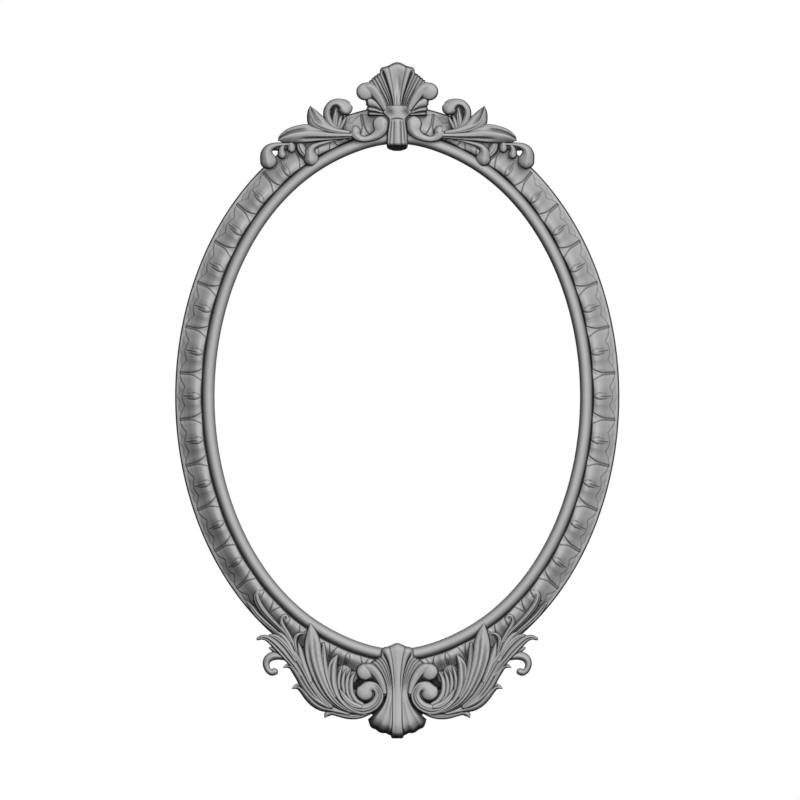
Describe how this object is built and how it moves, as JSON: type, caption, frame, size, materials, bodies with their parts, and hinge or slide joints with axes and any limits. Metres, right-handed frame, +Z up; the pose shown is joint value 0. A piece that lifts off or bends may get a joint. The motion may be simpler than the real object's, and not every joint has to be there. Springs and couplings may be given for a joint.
{
  "type": "oval picture frame",
  "caption": "Oval wall picture frame in painted wood, with a half round sight bead, leaf moulding, a shell crest and a shell foot with scrolled leaves.",
  "frame": {"origin": "centre of the oval opening, in the plane of the moulding's back", "axes": "+X to the right seen from the front, +Y out of the back towards the wall, +Z up; the carved face looks along -Y"},
  "size_m": [0.599, 0.0517, 0.9118],
  "materials": {
    "painted_wood": "satin",
    "beech": "matte",
    "zinc_steel": "satin",
    "felt": "matte"
  },
  "bodies": {
    "frame": {"base_acanthus_left": "painted_wood", "base_acanthus_right": "painted_wood", "base_blade_left": "painted_wood", "base_blade_right": "painted_wood", "base_fixing_screw": "zinc_steel", "base_foliage_left": "painted_wood", "base_foliage_right": "painted_wood", "base_hook_left": "painted_wood", "base_hook_right": "painted_wood", "base_shell": "painted_wood", "base_tendril_left": "painted_wood", "base_tendril_right": "painted_wood", "base_volute_left": "painted_wood", "base_volute_right": "painted_wood", "button_screw_bottom_left": "zinc_steel", "button_screw_bottom_right": "zinc_steel", "button_screw_top_left": "zinc_steel", "button_screw_top_right": "zinc_steel", "crest_clasp": "painted_wood", "crest_curl_left": "painted_wood", "crest_curl_right": "painted_wood", "crest_fixing_screw": "zinc_steel", "crest_leaf_left": "painted_wood", "crest_leaf_right": "painted_wood", "crest_scroll_left": "painted_wood", "crest_scroll_right": "painted_wood", "crest_shell": "painted_wood", "hanger_strap_left": "zinc_steel", "hanger_strap_right": "zinc_steel", "joint_spline_bottom_left": "beech", "joint_spline_bottom_right": "beech", "joint_spline_top_left": "beech", "joint_spline_top_right": "beech", "leaf_fixing_screw_left": "zinc_steel", "leaf_fixing_screw_right": "zinc_steel", "rail_bottom": "painted_wood", "rail_top": "painted_wood", "sight_bead_bottom_left": "painted_wood", "sight_bead_bottom_right": "painted_wood", "sight_bead_top_left": "painted_wood", "sight_bead_top_right": "painted_wood", "stile_left": "painted_wood", "stile_right": "painted_wood", "strap_screw_left_lower": "zinc_steel", "strap_screw_left_upper": "zinc_steel", "strap_screw_right_lower": "zinc_steel", "strap_screw_right_upper": "zinc_steel", "tail_curl_left": "painted_wood", "tail_curl_right": "painted_wood", "under_curl_left": "painted_wood", "under_curl_right": "painted_wood", "wall_bumper_left": "felt", "wall_bumper_right": "felt"},
    "button_top_right": {"turn_button_top_right": "zinc_steel"},
    "button_top_left": {"turn_button_top_left": "zinc_steel"},
    "button_bottom_left": {"turn_button_bottom_left": "zinc_steel"},
    "button_bottom_right": {"turn_button_bottom_right": "zinc_steel"},
    "ring_left": {"hanger_ring_left": "zinc_steel"},
    "ring_right": {"hanger_ring_right": "zinc_steel"}
  },
  "joints": [
    {"name": "button_top_right_turn", "type": "hinge", "parent": "frame", "child": "button_top_right", "pos_m": [0.17304, 0.0013, 0.27449], "axis": [0, 1, 0], "continuous": true},
    {"name": "button_top_left_turn", "type": "hinge", "parent": "frame", "child": "button_top_left", "pos_m": [-0.17304, 0.0013, 0.27449], "axis": [0, 1, 0], "continuous": true},
    {"name": "button_bottom_left_turn", "type": "hinge", "parent": "frame", "child": "button_bottom_left", "pos_m": [-0.20622, 0.0013, -0.23033], "axis": [0, 1, 0], "continuous": true},
    {"name": "button_bottom_right_turn", "type": "hinge", "parent": "frame", "child": "button_bottom_right", "pos_m": [0.20622, 0.0013, -0.23033], "axis": [0, 1, 0], "continuous": true},
    {"name": "ring_left_swing", "type": "hinge", "parent": "frame", "child": "ring_left", "pos_m": [-0.24825, 0.00335, 0.16004], "axis": [1, 0, 0], "range_deg": [0, 180]},
    {"name": "ring_right_swing", "type": "hinge", "parent": "frame", "child": "ring_right", "pos_m": [0.24825, 0.00335, 0.16004], "axis": [1, 0, 0], "range_deg": [0, 180]}
  ]
}
